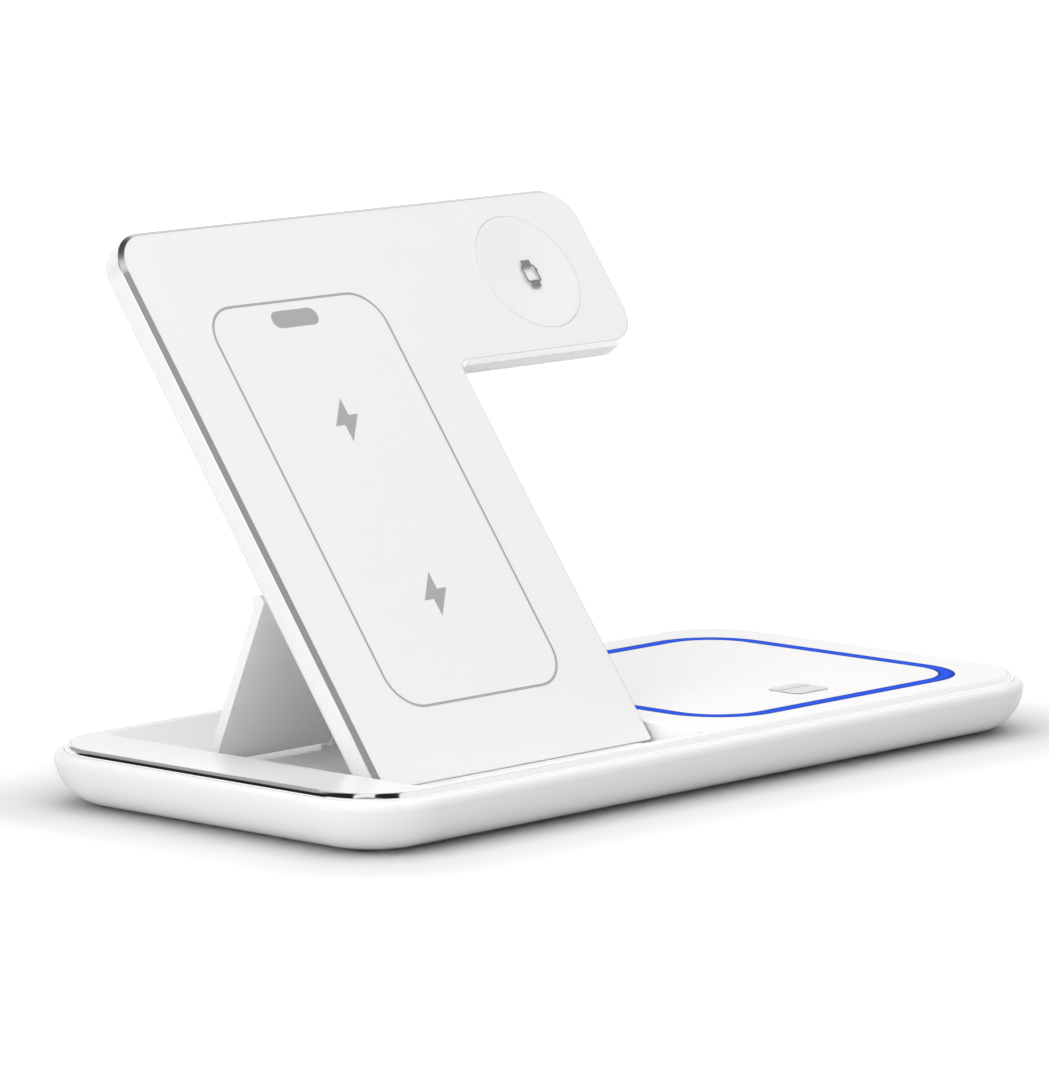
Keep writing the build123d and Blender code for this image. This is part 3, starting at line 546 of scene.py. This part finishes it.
fade = add_node(tree, "ShaderNodeMapRange",
    {"Value": away.outputs["Value"], "From Min": white_start, "From Max": white_end,
                                             "To Min": near.outputs["Result"], "To Max": 1.0},
                                             interpolation_type="SMOOTHSTEP")
path = add_node(tree, "ShaderNodeLightPath")
mirrored = add_node(tree, "ShaderNodeMath",
    {0: path.outputs["Is Glossy Ray"], 1: path.outputs["Is Transmission Ray"]}, operation="MAXIMUM")
seen = add_node(tree, "ShaderNodeMath", {0: path.outputs["Is Camera Ray"], 1: mirrored.outputs["Value"]},
    operation="MAXIMUM")
painted_glow = add_node(tree, "ShaderNodeMath", {0: seen.outputs["Value"], 1: fade.outputs["Result"]},
    operation="MULTIPLY")
shader.inputs["Base Color"].default_value = linear("#DCDCDC")
shader.inputs["Roughness"].default_value = 0.9
shader.inputs["Specular IOR Level"].default_value = 0.0
shader.inputs["Emission Color"].default_value = linear("#FFFFFF")
tree.links.new(painted_glow.outputs["Value"], shader.inputs["Emission Strength"])
table_top.data.materials.append(paint)

# Studio light: a broad soft box above, one high at the left and a low one in front of the left corner.
# None shows in the camera or in reflections; those show the room.
for light_name, place, aim, size, power in (
    ("top_soft_box", (0.0, -0.2, 1.6), (0.0, 0.0, 0.0), 2.2, 27.5),
    ("left_soft_box", (-1.18, 0.1, 0.92), (0.0, 0.0, 0.04), 1.0, 4.6),
    ("low_fill_box", (-1.29, -0.6, 0.26), (0.0, 0.0, 0.03), 0.5, 5.2),
):
    lamp = bpy.data.lights.new(light_name, "AREA")
    lamp.size = size
    lamp.energy = power
    light = bpy.data.objects.new(light_name, lamp)
    bpy.context.scene.collection.objects.link(light)
    light.location = place
    light.rotation_euler = (Vector(aim) - Vector(place)).to_track_quat("-Z", "Y").to_euler()
    light.visible_camera = False
    light.visible_glossy = False

# Room: even and white, with two dark ceiling fields beside a bright one, so that chrome shows black
# and grey stripes. Only reflections see the ceiling; as light on matt surfaces it is even.
room = bpy.data.worlds.new("white room")
room.use_nodes = True
bpy.context.scene.world = room
tree = room.node_tree
sky = tree.nodes["Background"]
coords = add_node(tree, "ShaderNodeTexCoord")
toward = coords.outputs["Generated"]
way = add_node(tree, "ShaderNodeSeparateXYZ", {"Vector": toward})
right, back, up = way.outputs["X"], way.outputs["Y"], way.outputs["Z"]
high = add_node(tree, "ShaderNodeMapRange", {"Value": up, "From Min": 0.26, "From Max": 0.36})
inward = add_node(tree, "ShaderNodeMapRange", {"Value": right, "From Min": 0.62, "From Max": 0.5})
rear_side = add_node(tree, "ShaderNodeVectorMath", {0: toward, 1: (-0.58, 1.0, 0.0)},
    operation="DOT_PRODUCT")
rear_field = add_node(tree, "ShaderNodeMapRange",
    {"Value": rear_side.outputs["Value"], "From Min": 0.23, "From Max": 0.27})
rear_field = add_node(tree, "ShaderNodeMath",
    {0: rear_field.outputs["Result"], 1: inward.outputs["Result"]}, operation="MULTIPLY")
front_side = add_node(tree, "ShaderNodeVectorMath", {0: toward, 1: (-1.0, 1.0, 0.0)},
    operation="DOT_PRODUCT")
front_start = add_node(tree, "ShaderNodeMapRange",
    {"Value": front_side.outputs["Value"], "From Min": -0.03, "From Max": -0.07})
right_side = add_node(tree, "ShaderNodeVectorMath", {0: toward, 1: (-1.96, 1.0, 0.0)},
    operation="DOT_PRODUCT")
front_end = add_node(tree, "ShaderNodeMapRange",
    {"Value": right_side.outputs["Value"], "From Min": -0.79, "From Max": -0.72})
front_field = add_node(tree, "ShaderNodeMath",
    {0: front_start.outputs["Result"], 1: front_end.outputs["Result"]}, operation="MULTIPLY")
fields = add_node(tree, "ShaderNodeMath", {0: rear_field.outputs["Value"],
    1: front_field.outputs["Value"]}, operation="MAXIMUM")
ceiling = add_node(tree, "ShaderNodeMath", {0: fields.outputs["Value"], 1: high.outputs["Result"]},
    operation="MULTIPLY")
above_floor = add_node(tree, "ShaderNodeMapRange", {"Value": up, "From Min": 0.02, "From Max": 0.06})
leftward = add_node(tree, "ShaderNodeMapRange", {"Value": right, "From Min": -0.25, "From Max": -0.35})
behind = add_node(tree, "ShaderNodeMapRange", {"Value": back, "From Min": 0.35, "From Max": 0.45})
corner = add_node(tree, "ShaderNodeMath", {0: leftward.outputs["Result"], 1: behind.outputs["Result"]},
    operation="MULTIPLY")
corner = add_node(tree, "ShaderNodeMath", {0: corner.outputs["Value"], 1: above_floor.outputs["Result"]},
    operation="MULTIPLY")
far_back = add_node(tree, "ShaderNodeMapRange", {"Value": back, "From Min": 0.5, "From Max": 0.62})
mid_right = add_node(tree, "ShaderNodeMapRange", {"Value": right, "From Min": -0.45, "From Max": -0.25})
grey_rear = add_node(tree, "ShaderNodeMath",
    {0: far_back.outputs["Result"], 1: mid_right.outputs["Result"]}, operation="MULTIPLY")
near_left = add_node(tree, "ShaderNodeMapRange", {"Value": right, "From Min": -0.42, "From Max": -0.52})
near_front = add_node(tree, "ShaderNodeMapRange", {"Value": back, "From Min": -0.25, "From Max": -0.35})
grey_front = add_node(tree, "ShaderNodeMath",
    {0: near_left.outputs["Result"], 1: near_front.outputs["Result"]}, operation="MULTIPLY")
dark = add_node(tree, "ShaderNodeMath", {0: ceiling.outputs["Value"], 1: corner.outputs["Value"]},
    operation="MAXIMUM")
grey_high = add_node(tree, "ShaderNodeMath", {0: grey_front.outputs["Value"], 1: high.outputs["Result"]},
    operation="MULTIPLY")
dark = add_node(tree, "ShaderNodeMath", {0: dark.outputs["Value"], 1: grey_high.outputs["Value"]},
    operation="MAXIMUM")
grey_part = add_node(tree, "ShaderNodeMath",
    {0: grey_rear.outputs["Value"], 1: grey_front.outputs["Value"]}, operation="MAXIMUM")
shade = add_node(tree, "ShaderNodeMapRange",
    {"Value": grey_part.outputs["Value"], "To Min": 0.02, "To Max": 0.4})
mirror_level = add_node(tree, "ShaderNodeMapRange",
    {"Value": dark.outputs["Value"], "To Min": 1.0, "To Max": shade.outputs["Result"]})
path = add_node(tree, "ShaderNodeLightPath")
mirrored = add_node(tree, "ShaderNodeMath",
    {0: path.outputs["Is Glossy Ray"], 1: path.outputs["Is Transmission Ray"]}, operation="MAXIMUM")
level = add_node(tree, "ShaderNodeMapRange",
    {"Value": path.outputs["Is Camera Ray"], "To Min": 0.2, "To Max": 1.0})
level = add_node(tree, "ShaderNodeMapRange",
    {"Value": mirrored.outputs["Value"], "To Min": level.outputs["Result"],
                                              "To Max": mirror_level.outputs["Result"]})
sky.inputs["Color"].default_value = linear("#FFFFFF")
tree.links.new(level.outputs["Result"], sky.inputs["Strength"])
bpy.context.scene.view_settings.view_transform = "Standard"

# Camera: level with the eye of someone seated at the table, front left, through a long lens.
camera = bpy.data.objects.new("camera", bpy.data.cameras.new("camera"))
bpy.context.scene.collection.objects.link(camera)
camera.location = (-991.2 * mm, -904.4 * mm, 240.96 * mm)
target = Vector((0.10 * mm, 7.19 * mm, 42.1 * mm))
camera.rotation_euler = (target - camera.location).to_track_quat("-Z", "Y").to_euler()
camera.data.lens = 242.8
camera.data.sensor_width = 36.0
bpy.context.scene.camera = camera
